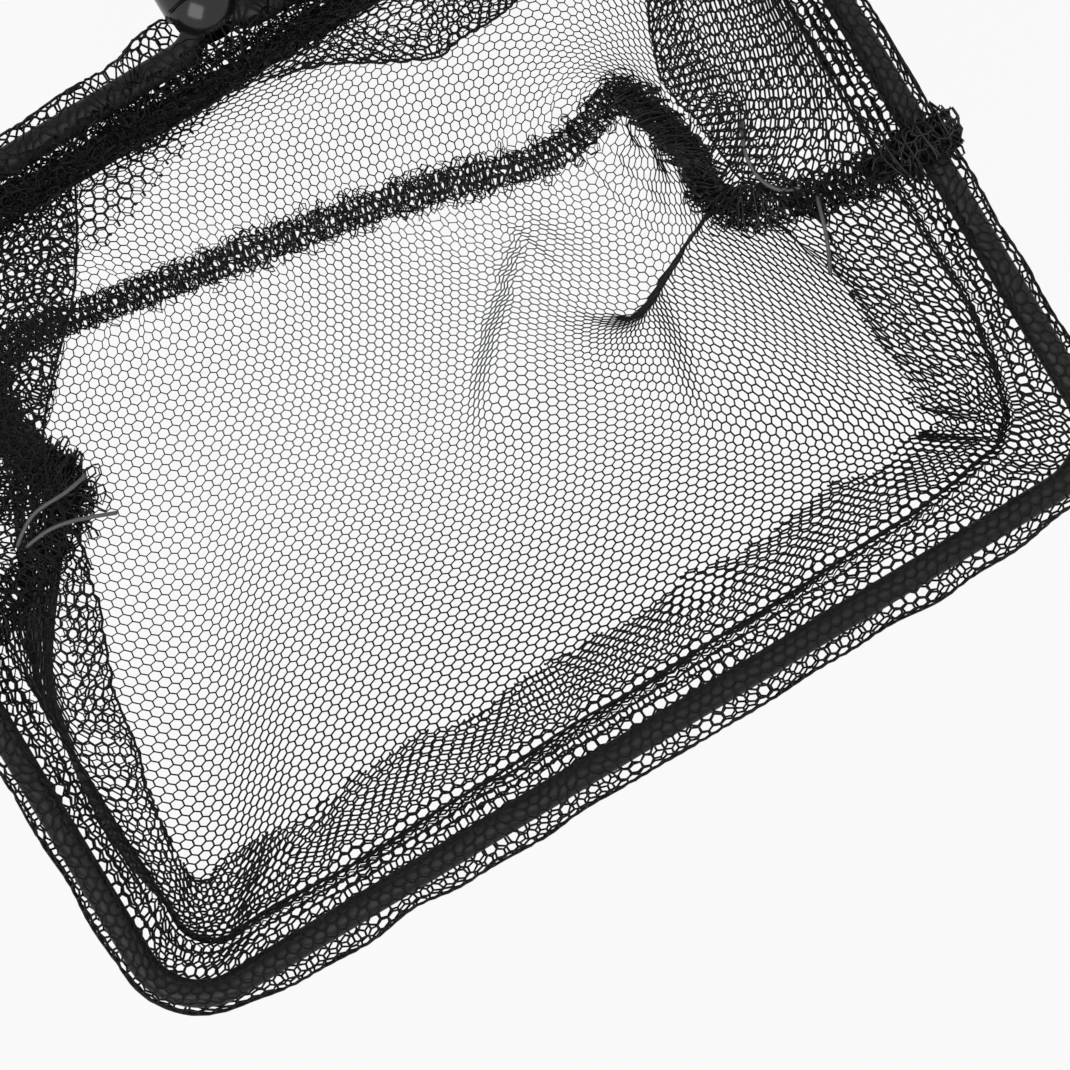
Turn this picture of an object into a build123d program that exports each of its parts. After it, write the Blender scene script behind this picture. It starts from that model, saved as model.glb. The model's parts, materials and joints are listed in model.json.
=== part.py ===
# Aquarium fish net with a rectangular wire hoop, a two-panel mesh bag and a telescopic handle.
# Millimetres. The hoop lies level, the bag hangs below it, and the handle runs along +Y.
# The origin is on the handle's axis, at the middle of the grip's plain land.
import os
from math import hypot, pi, sin

from build123d import *

os.makedirs("parts", exist_ok=True)

# Hoop: wire centre line, wire and coat
hoop_width = 125.0
hoop_depth = 94.0
hoop_corner_radius = 7.8
wire_diameter = 2.4
coating_thickness = 0.4
tail_spacing = 3.2
tail_length = 18.0
tail_bend_radius = 4.0
coated_bend_angle = 45.0

# Connector between the hoop and the inner tube
connector_diameter = 9.0
connector_collar_diameter = 10.4
connector_collar_length = 5.0
connector_web = 2.0
nose_overhang = 0.6
socket_depth = 13.0
pin_diameter = 1.6
connector_edge = 0.5

# Telescopic tubes, from the inside out
inner_tube_diameter = 4.8
tube_wall = 0.35
bush_wall = 0.3
bush_length = 12.0
bush_slit = 0.8
neck_length = 8.0
neck_taper = 1.0
section_step = 4.0
outer_exposed = 36.0
middle_rear_margin = 6.0
inner_rear_margin = 6.0

# Grip, its collar and its end cap
grip_land = 60.0
grip_diameter = 14.0
grip_edge = 2.5
groove_count = 6
groove_pitch = 5.0
groove_radius = 1.1
groove_start = 9.0
collar_length = 7.0
collar_diameter = 10.6
collar_edge = 1.2
cap_spigot_length = 12.0
cap_flange_diameter = 12.0
cap_flange_thickness = 3.0
eye_width = 12.0
eye_thickness = 5.0
eye_reach = 10.0
eye_hole_diameter = 5.6
cap_edge = 0.8

# Bag, hem and seam
bag_depth = 70.0
bag_bottom_width = 102.0
bag_bottom_length = 20.0
bag_trail = 36.0
bag_bottom_radius = 6.0
bag_swell = 10.0
cloth_thickness = 0.6
mesh_pitch = 10.0
mesh_strand = 2.4
mesh_across = 11
mesh_reach = 14.0
front_mesh_rows = 8
back_mesh_rows = 5
hem_looseness = 0.5
seam_width = 4.0
seam_thickness = 1.4
bag_levels = (0.0, 0.18, 0.38, 0.6, 0.8, 0.93, 1.0)
mesh_levels = (0.1, 0.93)
side_curve = 2.5
front_curve = 1.5
swell_curve = 1.4

# Clearances
slide_clearance = 0.1
bond_clearance = 0.02
slot_clearance = 0.25
cloth_clearance = 0.3
stop_clearance = 0.5

# Radii of the wire, the coat and the loose sleeve round it
wire_radius = wire_diameter / 2
coating_radius = wire_radius + coating_thickness
sleeve_bore_radius = coating_radius + hem_looseness
sleeve_radius = sleeve_bore_radius + cloth_thickness

# Radii of the tubes: each one clears the bush that slides in it
inner_radius = inner_tube_diameter / 2
inner_bush_radius = inner_radius + bush_wall
middle_bore_radius = inner_bush_radius + slide_clearance
middle_radius = middle_bore_radius + tube_wall
middle_bush_radius = middle_radius + bush_wall
outer_bore_radius = middle_bush_radius + slide_clearance
outer_radius = outer_bore_radius + tube_wall

# Places along the handle, from the grip towards the hoop
last_groove = -grip_land / 2 - groove_radius
first_groove = last_groove - groove_pitch * (groove_count - 1)
grip_front = first_groove - groove_start
grip_rear = grip_land / 2 + grip_edge
outer_front = grip_front - outer_exposed
outer_rear = grip_rear
middle_front = outer_front - section_step
middle_rear = outer_rear - cap_spigot_length - middle_rear_margin
connector_rear = middle_front - section_step
inner_front = connector_rear - socket_depth
inner_rear = middle_rear - inner_rear_margin
tail_end = inner_front - connector_web
hoop_back = tail_end - tail_length - tail_bend_radius
connector_tip = hoop_back - nose_overhang
hoop_middle = hoop_back - hoop_depth / 2
hoop_front = hoop_back - hoop_depth
hoop_side = hoop_width / 2
tail_x = tail_spacing / 2
bend_x = tail_x + tail_bend_radius
bend_y = hoop_back + tail_bend_radius
pin_y = connector_rear - socket_depth / 2

# How far each tube draws out before its bush meets the neck
middle_travel = (middle_rear - bush_length) - (outer_front + neck_length + neck_taper) - stop_clearance
inner_travel = (inner_rear - bush_length) - (middle_front + neck_length + neck_taper) - stop_clearance

# Seam plane: from the middle of the hoop's sides to the bottom of the bag
seam_drop = hypot(bag_trail, bag_depth)
seam_plane = Plane(
    origin=(0, hoop_middle, 0),
    x_dir=(1, 0, 0),
    z_dir=(0, bag_depth / seam_drop, bag_trail / seam_drop),
)
bag_top = sleeve_radius + cloth_clearance
panel_gap = seam_thickness / 2 + cloth_clearance / 2


def bag_section(level, inset):
    """Depth, width, length, middle and corner radius of the bag at a level from 0 (top) to 1 (bottom)."""
    depth = bag_top + (bag_depth - bag_top) * level
    half_width = hoop_side - (hoop_width - bag_bottom_width) / 2 * level**side_curve
    bottom_front = bag_trail - bag_bottom_length / 2
    bottom_back = bag_trail + bag_bottom_length / 2
    front = -hoop_depth / 2 + (bottom_front + hoop_depth / 2) * level**front_curve
    back = hoop_depth / 2 + (bottom_back - hoop_depth / 2) * level + bag_swell * sin(pi * level**swell_curve)
    radius = hoop_corner_radius + (bag_bottom_radius - hoop_corner_radius) * level
    width = 2 * (half_width - inset)
    length = back - front - 2 * inset
    return depth, width, length, hoop_middle + (front + back) / 2, radius - inset


def mesh_plane(side):
    """Plane along the slope of the front wall (side -1) or the back wall (side 1) of the bag."""
    ends = []
    for level in mesh_levels:
        depth, width, length, middle, radius = bag_section(level, 0)
        ends.append(Vector(0, middle + side * length / 2, -depth))
    upper, lower = ends
    return Plane(origin=(upper + lower) / 2, x_dir=(1, 0, 0), z_dir=Vector(1, 0, 0).cross(lower - upper))


def mesh_openings(rows):
    """Staggered hexagons that stand for the open mesh."""
    with HexLocations(mesh_pitch / 2, mesh_across, rows):
        RegularPolygon((mesh_pitch - mesh_strand) / 2, 6, major_radius=False, rotation=30)


def tube_profile(front, rear, radius, bore_radius, neck_bore_radius):
    """Half section of a tube with a swaged neck at its front end."""
    neck_radius = neck_bore_radius + tube_wall
    neck_end = front + neck_length
    return [
        (neck_bore_radius, front),
        (neck_radius, front),
        (neck_radius, neck_end),
        (radius, neck_end + neck_taper),
        (radius, rear),
        (bore_radius, rear),
        (bore_radius, neck_end + neck_taper),
        (neck_bore_radius, neck_end),
    ]


# Hoop wire: a rounded rectangle whose ends turn out into the connector
hoop_points = [
    (tail_x, tail_end),
    (tail_x, hoop_back),
    (hoop_side, hoop_back),
    (hoop_side, hoop_front),
    (-hoop_side, hoop_front),
    (-hoop_side, hoop_back),
    (-tail_x, hoop_back),
    (-tail_x, tail_end),
]
hoop_radii = [tail_bend_radius] + [hoop_corner_radius] * 4 + [tail_bend_radius]
with BuildPart() as hoop_wire:
    with BuildLine() as wire_path:
        FilletPolyline(*hoop_points, radius=hoop_radii)
    with BuildSketch(Plane(origin=(tail_x, tail_end, 0), z_dir=(0, -1, 0))):
        Circle(wire_radius)
    sweep(path=wire_path.wires()[0])

# Hoop coating: the black coat, which stops part of the way round each tail bend
with BuildPart() as hoop_coating:
    with BuildLine() as coat_path:
        CenterArc((bend_x, bend_y), tail_bend_radius, 270 - coated_bend_angle, coated_bend_angle)
        FilletPolyline(
            (bend_x, hoop_back),
            (hoop_side, hoop_back),
            (hoop_side, hoop_front),
            (-hoop_side, hoop_front),
            (-hoop_side, hoop_back),
            (-bend_x, hoop_back),
            radius=hoop_corner_radius,
        )
        CenterArc((-bend_x, bend_y), tail_bend_radius, 270, coated_bend_angle)
    coat_wire = coat_path.wires()[0]
    with BuildSketch(Plane(origin=coat_wire @ 0, z_dir=coat_wire % 0)):
        Circle(coating_radius)
        Circle(wire_radius + bond_clearance, mode=Mode.SUBTRACT)
    sweep(path=coat_wire)

# Connector: a moulded bullet with a slot for the coated bends, bores for the tails and a tube socket
with BuildPart() as connector:
    connector_radius = connector_diameter / 2
    collar_radius = connector_collar_diameter / 2
    collar_front = connector_rear - connector_collar_length
    collar_taper = collar_radius - connector_radius
    with BuildSketch():
        with BuildLine():
            CenterArc((0, connector_tip + connector_radius), connector_radius, 270, 90)
            Polyline(
                (connector_radius, connector_tip + connector_radius),
                (connector_radius, collar_front - collar_taper),
                (collar_radius, collar_front),
                (collar_radius, connector_rear),
                (0, connector_rear),
                (0, connector_tip),
            )
        make_face()
    revolve(axis=Axis.Y)
    rim = connector.edges().filter_by(GeomType.CIRCLE).sort_by(Axis.Y)[-1]
    chamfer(rim, connector_edge)
    slot_end = bend_y + slot_clearance
    slot_height = 2 * (coating_radius + slot_clearance)
    with BuildSketch(Plane.XY):
        with Locations((0, (connector_tip + slot_end) / 2)):
            Rectangle(2 * connector_diameter, slot_end - connector_tip)
    extrude(amount=slot_height / 2, both=True, mode=Mode.SUBTRACT)
    with BuildSketch(Plane(origin=(0, slot_end, 0), x_dir=(1, 0, 0), z_dir=(0, 1, 0))):
        with GridLocations(tail_spacing, 0, 2, 1):
            Circle(wire_radius + bond_clearance)
    extrude(amount=tail_end - slot_end + bond_clearance, mode=Mode.SUBTRACT)
    with BuildSketch(Plane(origin=(0, connector_rear, 0), x_dir=(1, 0, 0), z_dir=(0, -1, 0))):
        Circle(inner_radius + bond_clearance)
    extrude(amount=socket_depth, mode=Mode.SUBTRACT)
    with BuildSketch(Plane.XY):
        with Locations((0, pin_y)):
            Circle(pin_diameter / 2 + bond_clearance)
    extrude(amount=connector_diameter, both=True, mode=Mode.SUBTRACT)

# Connector pin: driven through the connector and the inner tube, flush with the body
with BuildPart() as connector_pin:
    with BuildSketch(Plane.XY):
        with Locations((0, pin_y)):
            Circle(pin_diameter / 2)
    extrude(amount=connector_radius - connector_edge / 2, both=True)

# Inner tube: plain, fixed in the connector's socket
with BuildPart() as inner_tube:
    with BuildSketch(Plane(origin=(0, inner_front, 0), x_dir=(1, 0, 0), z_dir=(0, 1, 0))):
        Circle(inner_radius)
        Circle(inner_radius - tube_wall, mode=Mode.SUBTRACT)
    extrude(amount=inner_rear - inner_front)
    with BuildSketch(Plane.XY):
        with Locations((0, pin_y)):
            Circle(pin_diameter / 2 + bond_clearance)
    extrude(amount=inner_tube_diameter, both=True, mode=Mode.SUBTRACT)

# Middle and outer tubes: swaged necks keep the bush of the next tube in
middle_neck_radius = inner_radius + slide_clearance
outer_neck_radius = middle_radius + slide_clearance
with BuildPart() as middle_tube:
    with BuildSketch():
        with BuildLine():
            Polyline(
                *tube_profile(
                    middle_front, middle_rear, middle_radius, middle_bore_radius, middle_neck_radius
                ),
                close=True,
            )
        make_face()
    revolve(axis=Axis.Y)

with BuildPart() as outer_tube:
    with BuildSketch():
        with BuildLine():
            Polyline(
                *tube_profile(
                    outer_front, outer_rear, outer_radius, outer_bore_radius, outer_neck_radius
                ),
                close=True,
            )
        make_face()
    revolve(axis=Axis.Y)

# Split friction bushes at the rear ends of the inner and middle tubes
with BuildPart() as inner_bush:
    with BuildSketch(Plane(origin=(0, inner_rear, 0), x_dir=(1, 0, 0), z_dir=(0, -1, 0))):
        Circle(inner_bush_radius)
        Circle(inner_radius + bond_clearance, mode=Mode.SUBTRACT)
        with Locations((inner_radius, 0)):
            Rectangle(inner_radius, bush_slit, mode=Mode.SUBTRACT)
    extrude(amount=bush_length)

with BuildPart() as middle_bush:
    with BuildSketch(Plane(origin=(0, middle_rear, 0), x_dir=(1, 0, 0), z_dir=(0, -1, 0))):
        Circle(middle_bush_radius)
        Circle(middle_radius + bond_clearance, mode=Mode.SUBTRACT)
        with Locations((middle_radius, 0)):
            Rectangle(middle_radius, bush_slit, mode=Mode.SUBTRACT)
    extrude(amount=bush_length)

# Grip: rubber sleeve with ring grooves at its front and a plain land behind them
with BuildPart() as grip:
    grip_radius = grip_diameter / 2
    with BuildSketch(Plane(origin=(0, grip_front, 0), x_dir=(1, 0, 0), z_dir=(0, 1, 0))):
        Circle(grip_radius)
    extrude(amount=grip_rear - grip_front)
    fillet(grip.edges().filter_by(GeomType.CIRCLE), grip_edge)
    with BuildSketch():
        with Locations(*[(grip_radius, first_groove + groove_pitch * i) for i in range(groove_count)]):
            Circle(groove_radius)
    revolve(axis=Axis.Y, mode=Mode.SUBTRACT)
    with BuildSketch(Plane(origin=(0, grip_front, 0), x_dir=(1, 0, 0), z_dir=(0, 1, 0))):
        Circle(outer_radius + bond_clearance)
    extrude(amount=grip_rear - grip_front, mode=Mode.SUBTRACT)

# Collar: the ring that closes the grip's front end
with BuildPart() as grip_collar:
    with BuildSketch(Plane(origin=(0, grip_front, 0), x_dir=(1, 0, 0), z_dir=(0, -1, 0))):
        Circle(collar_diameter / 2)
    extrude(amount=collar_length)
    collar_front_rim = grip_collar.edges().filter_by(GeomType.CIRCLE).sort_by(Axis.Y)[0]
    fillet(collar_front_rim, collar_edge)
    with BuildSketch(Plane(origin=(0, grip_front, 0), x_dir=(1, 0, 0), z_dir=(0, -1, 0))):
        Circle(outer_radius + bond_clearance)
    extrude(amount=collar_length, mode=Mode.SUBTRACT)

# End cap: a spigot in the outer tube, a flange on the grip and a flat hanging eye
eye_middle = grip_rear + cap_flange_thickness + eye_reach
with BuildPart() as end_cap:
    with BuildSketch(Plane(origin=(0, grip_rear, 0), x_dir=(1, 0, 0), z_dir=(0, 1, 0))):
        Circle(cap_flange_diameter / 2)
    extrude(amount=cap_flange_thickness)
    flange_rims = end_cap.edges().filter_by(GeomType.CIRCLE).sort_by(Axis.Y)
    fillet(flange_rims[-1], cap_edge)
    with BuildSketch(Plane.XY):
        with Locations((0, (grip_rear + cap_flange_thickness / 2 + eye_middle) / 2)):
            Rectangle(eye_width - 2 * cap_edge, eye_middle - grip_rear - cap_flange_thickness / 2)
        with Locations((0, eye_middle)):
            Circle(eye_width / 2)
    extrude(amount=eye_thickness / 2, both=True)
    with BuildSketch(Plane.XY):
        with Locations((0, eye_middle)):
            Circle(eye_hole_diameter / 2)
    extrude(amount=eye_thickness, both=True, mode=Mode.SUBTRACT)
    with BuildSketch(Plane(origin=(0, grip_rear, 0), x_dir=(1, 0, 0), z_dir=(0, -1, 0))):
        Circle(outer_bore_radius - bond_clearance)
    extrude(amount=cap_spigot_length)

# Hems: loose sleeves of cloth round the coated wire, open at the side seams and at the connector
seam_gap = seam_thickness / 2 + cloth_clearance
hem_end_x = bend_x + coating_radius


def hem_profile():
    """Ring section of the loose sleeve."""
    Circle(sleeve_radius)
    Circle(sleeve_bore_radius, mode=Mode.SUBTRACT)


with BuildPart() as front_hem:
    with BuildLine() as front_hem_path:
        FilletPolyline(
            (hoop_side, hoop_middle - seam_gap),
            (hoop_side, hoop_front),
            (-hoop_side, hoop_front),
            (-hoop_side, hoop_middle - seam_gap),
            radius=hoop_corner_radius,
        )
    with BuildSketch(Plane(origin=(hoop_side, hoop_middle - seam_gap, 0), z_dir=(0, -1, 0))):
        hem_profile()
    sweep(path=front_hem_path.wires()[0])

with BuildPart() as back_hem_right:
    with BuildLine() as right_hem_path:
        FilletPolyline(
            (hoop_side, hoop_middle + seam_gap),
            (hoop_side, hoop_back),
            (hem_end_x, hoop_back),
            radius=hoop_corner_radius,
        )
    with BuildSketch(Plane(origin=(hoop_side, hoop_middle + seam_gap, 0), z_dir=(0, 1, 0))):
        hem_profile()
    sweep(path=right_hem_path.wires()[0])

with BuildPart() as back_hem_left:
    add(back_hem_right.part.mirror(Plane.YZ))

# Bag: a thin lofted pouch whose bottom trails towards the handle, cut along the seam plane
with BuildPart() as bag:
    for level in bag_levels:
        depth, width, length, middle, radius = bag_section(level, 0)
        with BuildSketch(Plane.XY.offset(-depth)):
            with Locations((0, middle)):
                RectangleRounded(width, length, radius)
    loft(ruled=True)
    for level in bag_levels:
        depth, width, length, middle, radius = bag_section(level, cloth_thickness)
        floor = cloth_thickness if level == bag_levels[-1] else 0
        with BuildSketch(Plane.XY.offset(floor - depth)):
            with Locations((0, middle)):
                RectangleRounded(width, length, radius)
    loft(ruled=True, mode=Mode.SUBTRACT)

with BuildPart() as front_panel:
    add(bag.part)
    split(bisect_by=seam_plane.offset(-panel_gap), keep=Keep.BOTTOM)
    with BuildSketch(mesh_plane(-1)):
        mesh_openings(front_mesh_rows)
    extrude(amount=mesh_reach, both=True, mode=Mode.SUBTRACT)

with BuildPart() as back_panel:
    add(bag.part)
    split(bisect_by=seam_plane.offset(panel_gap), keep=Keep.TOP)
    with BuildSketch(mesh_plane(1)):
        mesh_openings(back_mesh_rows)
    extrude(amount=mesh_reach, both=True, mode=Mode.SUBTRACT)

# Seam: the overlocked strip between the panels, standing out of the bag
seam_stretch = seam_drop / bag_depth
seam_inner = []
seam_outer = []
for level in bag_levels:
    depth, width, length, middle, radius = bag_section(level, 0)
    along = depth * seam_stretch
    start = seam_thickness if level == bag_levels[0] else 0
    floor = cloth_thickness if level == bag_levels[-1] else 0
    seam_inner.append((width / 2 - cloth_thickness, along + start - floor))
    seam_outer.append((width / 2 + seam_width, along + start + (seam_width if floor else 0)))
right_side = seam_inner[::-1] + seam_outer
left_side = [(-x, y) for x, y in reversed(right_side)]
with BuildPart() as bag_seam:
    with BuildSketch(seam_plane):
        with BuildLine():
            Polyline(*right_side, *left_side, close=True)
        make_face()
    extrude(amount=seam_thickness / 2, both=True)

pieces = {
    "hoop_wire": hoop_wire,
    "hoop_coating": hoop_coating,
    "connector": connector,
    "connector_pin": connector_pin,
    "inner_tube": inner_tube,
    "inner_bush": inner_bush,
    "middle_tube": middle_tube,
    "middle_bush": middle_bush,
    "outer_tube": outer_tube,
    "grip": grip,
    "grip_collar": grip_collar,
    "end_cap": end_cap,
    "front_hem": front_hem,
    "back_hem_left": back_hem_left,
    "back_hem_right": back_hem_right,
    "front_panel": front_panel,
    "back_panel": back_panel,
    "bag_seam": bag_seam,
}
for name, piece in pieces.items():
    piece.part.label = name
    export_step(piece.part, f"parts/{name}.step")

print("hoop middle", round(hoop_middle, 2), "hoop back", round(hoop_back, 2))
print("middle travel", round(middle_travel, 2), "inner travel", round(inner_travel, 2))
print("eye middle", round(eye_middle, 2), "land radius", grip_diameter / 2)
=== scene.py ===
import bpy
import json
import math
import numpy as np
from mathutils import Matrix, Vector


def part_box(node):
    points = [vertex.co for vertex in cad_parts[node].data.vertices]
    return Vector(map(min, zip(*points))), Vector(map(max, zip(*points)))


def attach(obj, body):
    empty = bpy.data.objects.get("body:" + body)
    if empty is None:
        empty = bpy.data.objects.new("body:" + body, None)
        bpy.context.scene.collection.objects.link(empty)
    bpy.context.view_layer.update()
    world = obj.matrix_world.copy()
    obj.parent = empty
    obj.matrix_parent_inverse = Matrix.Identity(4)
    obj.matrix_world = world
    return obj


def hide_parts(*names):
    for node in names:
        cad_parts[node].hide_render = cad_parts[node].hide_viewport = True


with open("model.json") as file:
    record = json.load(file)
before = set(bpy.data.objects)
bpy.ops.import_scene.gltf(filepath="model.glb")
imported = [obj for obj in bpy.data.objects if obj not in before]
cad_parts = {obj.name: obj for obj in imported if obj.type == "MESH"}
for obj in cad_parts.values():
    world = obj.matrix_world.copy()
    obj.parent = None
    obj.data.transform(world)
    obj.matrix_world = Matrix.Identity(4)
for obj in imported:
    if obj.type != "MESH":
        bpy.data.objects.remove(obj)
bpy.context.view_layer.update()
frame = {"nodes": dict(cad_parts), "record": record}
nodes = frame["nodes"]

# The hoop's centre line, in mm about the hoop's middle
hoop = {
    "coatRadius": 1.6,
    "depth": 94.0,
    "cornerRadius": 7.8,
    "step": 0.25,  # spacing of the table along the wire
    "turnBlur": 11.0,  # how far ahead of a corner the cloth starts to turn
}
coatLow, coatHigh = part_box("hoop_coating")
halfX = coatHigh.x * 1000 - hoop["coatRadius"]
halfY = hoop["depth"] / 2
hoopY = coatLow.y * 1000 + hoop["coatRadius"] + halfY


def toFrame(points):
    return (np.asarray(points) + (0.0, hoopY, 0.0)) / 1000


def smooth(low, high, x):
    t = np.clip((x - low) / (high - low), 0, 1)
    return t * t * (3 - 2 * t)


def unit(vectors):
    return vectors / np.maximum(np.linalg.norm(vectors, axis=-1, keepdims=True), 1e-9)


def lengths(line):
    return np.concatenate([[0], np.cumsum(np.linalg.norm(np.diff(line, axis=0), axis=1))])


def sampled(table, run, where):
    # a table's rows, between those that it has
    return np.stack([np.interp(where, run, column) for column in table.T], axis=1)


def evenly(line, count):
    # the same line with points at equal steps of its length
    run = lengths(line)
    return sampled(line, run, np.linspace(0, run[-1], count))


def throughPoints(points, perSpan=24):
    # natural cubic spline through the points, by chord length
    points = np.array(points, float)
    t = lengths(points)
    h = np.diff(t)
    n = len(points)
    m = np.zeros((n, n))
    rhs = np.zeros_like(points)
    m[0, 0] = m[-1, -1] = 1
    for k in range(1, n - 1):
        m[k, k - 1], m[k, k], m[k, k + 1] = h[k - 1], 2 * (h[k - 1] + h[k]), h[k]
        rhs[k] = 6 * ((points[k + 1] - points[k]) / h[k] - (points[k] - points[k - 1]) / h[k - 1])
    bend = np.linalg.solve(m, rhs)
    made = []
    for k in range(n - 1):
        x = np.linspace(0, h[k], perSpan, endpoint=False)[:, None]
        y = h[k] - x
        curve = (bend[k] * y**3 + bend[k + 1] * x**3) / (6 * h[k])
        before = points[k] / h[k] - bend[k] * h[k] / 6
        after = points[k + 1] / h[k] - bend[k + 1] * h[k] / 6
        made.append(curve + (before * y + after * x))
    return np.concatenate(made + [points[-1:]])


def ripple(x, wave, seed, count=5):
    # seeded sum of sines, about one high, with waves near the given length
    pick = np.random.default_rng(seed)
    total = np.zeros_like(np.asarray(x, float))
    for k in range(count):
        total += np.sin(2 * np.pi * x / (wave * pick.uniform(0.6, 1.8)) + pick.uniform(0, 2 * np.pi))
    return total / math.sqrt(count)


def blurRound(values, width):
    # wrap-around blur along the hoop
    reach = int(3 * width / hoop["step"])
    offsets = np.arange(-reach, reach + 1)
    weights = np.exp(-0.5 * (offsets * hoop["step"] / width) ** 2)
    weights /= weights.sum()
    padded = np.concatenate([values[-reach:], values, values[:reach]])
    return np.stack([np.convolve(padded[:, k], weights, "valid") for k in range(values.shape[1])], axis=1)


def hoopLine():
    r = hoop["cornerRadius"]
    ax, ay = halfX - r, halfY - r
    points = [(0, -halfY)]
    for cx, cy, start in ((ax, -ay, -90), (ax, ay, 0), (-ax, ay, 90), (-ax, -ay, 180)):
        turns = np.radians(start + np.linspace(0, 90, 40))
        points += [(cx + r * math.cos(a), cy + r * math.sin(a)) for a in turns]
    points.append((0, -halfY))
    line = np.array(points)
    count = int(round(lengths(line)[-1] / hoop["step"]))
    return lengths(line)[-1], evenly(line, count + 1)[:-1]


around, ring = hoopLine()
ringStep = around / len(ring)
ringRun = unit(np.roll(ring, -1, axis=0) - np.roll(ring, 1, axis=0))
ringIn = np.stack([-ringRun[:, 1], ringRun[:, 0]], axis=1)
ringTurn = unit(blurRound(ringIn, hoop["turnBlur"]))
sideStart = halfX - hoop["cornerRadius"] + math.pi / 2 * hoop["cornerRadius"]
backMiddle = around / 2


def onRing(table, s):
    # a table's value at distance s along the wire, from the middle of the front edge towards +X
    x = np.asarray(s) / ringStep
    low = np.floor(x).astype(int)
    part = (x - low)[..., None]
    return table[low % len(table)] * (1 - part) + table[(low + 1) % len(table)] * part


def station(keys, s):
    # a value that changes along the wire, from a short list of places
    places = np.array([k[0] for k in keys])
    values = np.array([k[1] for k in keys])
    return np.interp(np.mod(s, around), places, values, period=around)


# Seam between the two panels, from the right side of the hoop, along the bottom, to the left side
seam = {
    "right": [(50.5, -3.2, -9.5), (43.5, 0.0, -15), (42, 4.5, -22), (43.8, 8.5, -30), (45.4, 20.5, -50),
        (43.8, 28, -64)],
    "bottom": [(37, 26.5, -69), (21.5, 29.5, -71), (-5, 36, -71), (-21, 38.7, -70), (-40, 42, -68)],
    "left": [(-52, 42, -62), (-54, 34, -50), (-50, 23, -33), (-45, 15, -19), (-44.5, 11, -12),
        (-50.5, 7, -8.5)],
    "rightStart": -5.5,  # where it meets the hoop, from the hoop's middle
    "leftStart": 3.0,
    "perSpan": 24,
    "count": 400,
}
# The line of stitches that closes the sleeve, inside the wire and below it
stitch = {
    "inset": [(0, 4.4), (40, 5.2), (48, 6.0), (55, 7.4), (61, 8.6), (66, 7.4), (73, 5.2), (82, 3.9),
        (140, 3.9), (152, 4.4), (165, 4.6), (260, 4.6), (275, 4.4), (290, 4.2), (345, 4.2), (364, 5.0),
        (385, 4.2)],
    "drop": 5.4,
}
seamRightS = sideStart + seam["rightStart"] + halfY - hoop["cornerRadius"]
seamLeftS = around - sideStart - (seam["leftStart"] + halfY - hoop["cornerRadius"])


def besideWire(s, inset, z):
    # points inside the wire by the inset, at height z
    flat = onRing(ring, s) + onRing(ringTurn, s) * np.asarray(inset)[..., None]
    return np.concatenate([flat, np.asarray(z + 0 * inset)[..., None]], axis=-1)


def stitchLine(s):
    return besideWire(s, station(stitch["inset"], s), -stitch["drop"])


def seamLines():
    first, last = stitchLine(seamRightS), stitchLine(seamLeftS)
    points = [tuple(first)] + seam["right"] + seam["bottom"] + seam["left"] + [tuple(last)]
    per = seam["perSpan"]
    line = throughPoints(points, per)
    rightEnd = len(seam["right"]) * per
    leftStart = (len(seam["right"]) + len(seam["bottom"]) + 1) * per
    parts = line[: rightEnd + 1], line[rightEnd : leftStart + 1], line[leftStart:]
    return [evenly(p, seam["count"]) for p in parts]


seamRight, seamBottom, seamLeft = seamLines()
seamAll = np.concatenate([seamRight, seamBottom[1:], seamLeft[1:]])
print("seam: %.0f mm long, %.0f mm of it along the bottom" % (lengths(seamAll)[-1], lengths(seamBottom)[-1]))

# Cloth: two panels of hexagonal net
net = {
    "pitch": 1.56,  # mm between neighbouring holes
    "strand": 0.33,
    "thin": 0.64,  # share of a strand's thickness that is left where the bag is stretched
    "thinning": 1.6,  # how soon below the hem the strands thin
    "narrowing": 0.85,  # how the cut narrows towards the bottom seam
    "shake": 0.05,  # how far the knots wander, mm
    "ragged": 0.9,  # how uneven the flap's cut edge is
    "cut": (0.25, 0.75),  # how far cut strands stand out
    "cutBend": 0.08,
    "cutThick": 0.45,  # their radius, as a share of a strand's thickness
    "settle": 400,  # steps until the knots rest
    "pull": 0.6,
    "slide": (0.004, 0.006),  # the most that a knot slides in a step, along the hoop and down
    "flattest": 0.02,  # keeps the step finite where the cloth's lines nearly meet
    "columns": 240,
    "rows": 170,
}
panels = {
    "front": {
        "from": seamLeftS - around,
        "to": seamRightS,
        "bottomWidth": 122.0,
        "floor": (-26.0, -1.0),  # how each line comes to the seam, back and down, mm
        "pull": (10.0, 12.0),  # how far the side seams draw the cloth with them
        "gather": 1.1,
        "seed": 11,
    },
    "back": {
        "from": seamRightS,
        "to": seamLeftS,
        "bottomWidth": 122.0,
        "floor": (24.0, -4.0),
        "pull": (12.0, 10.0),
        "gather": 0.8,
        "seed": 29,
    },
}
# How each line of cloth leaves the stitch, by place along the wire
walls = {
    "inward": [(0, 14), (40, 13), (56, 9), (70, 5), (100, 4), (110, -1), (138, -4), (150, -12), (165, -18),
        (255, -18), (268, -12), (282, -6), (310, -9), (330, -18), (346, -18), (356, -11), (366, 2),
        (382, 12), (400, 14)],
    "down": [(0, 22), (48, 22), (67, 26), (100, 30), (112, 40), (140, 40), (165, 36), (255, 36), (285, 40),
        (310, 40), (345, 36), (360, 28), (380, 22)],
    "aside": [(0, 0), (100, 0), (130, 6), (150, 4), (212, 0), (270, -8), (300, -14), (330, -23), (348, -25),
        (366, -12), (385, 0)],
}
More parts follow.
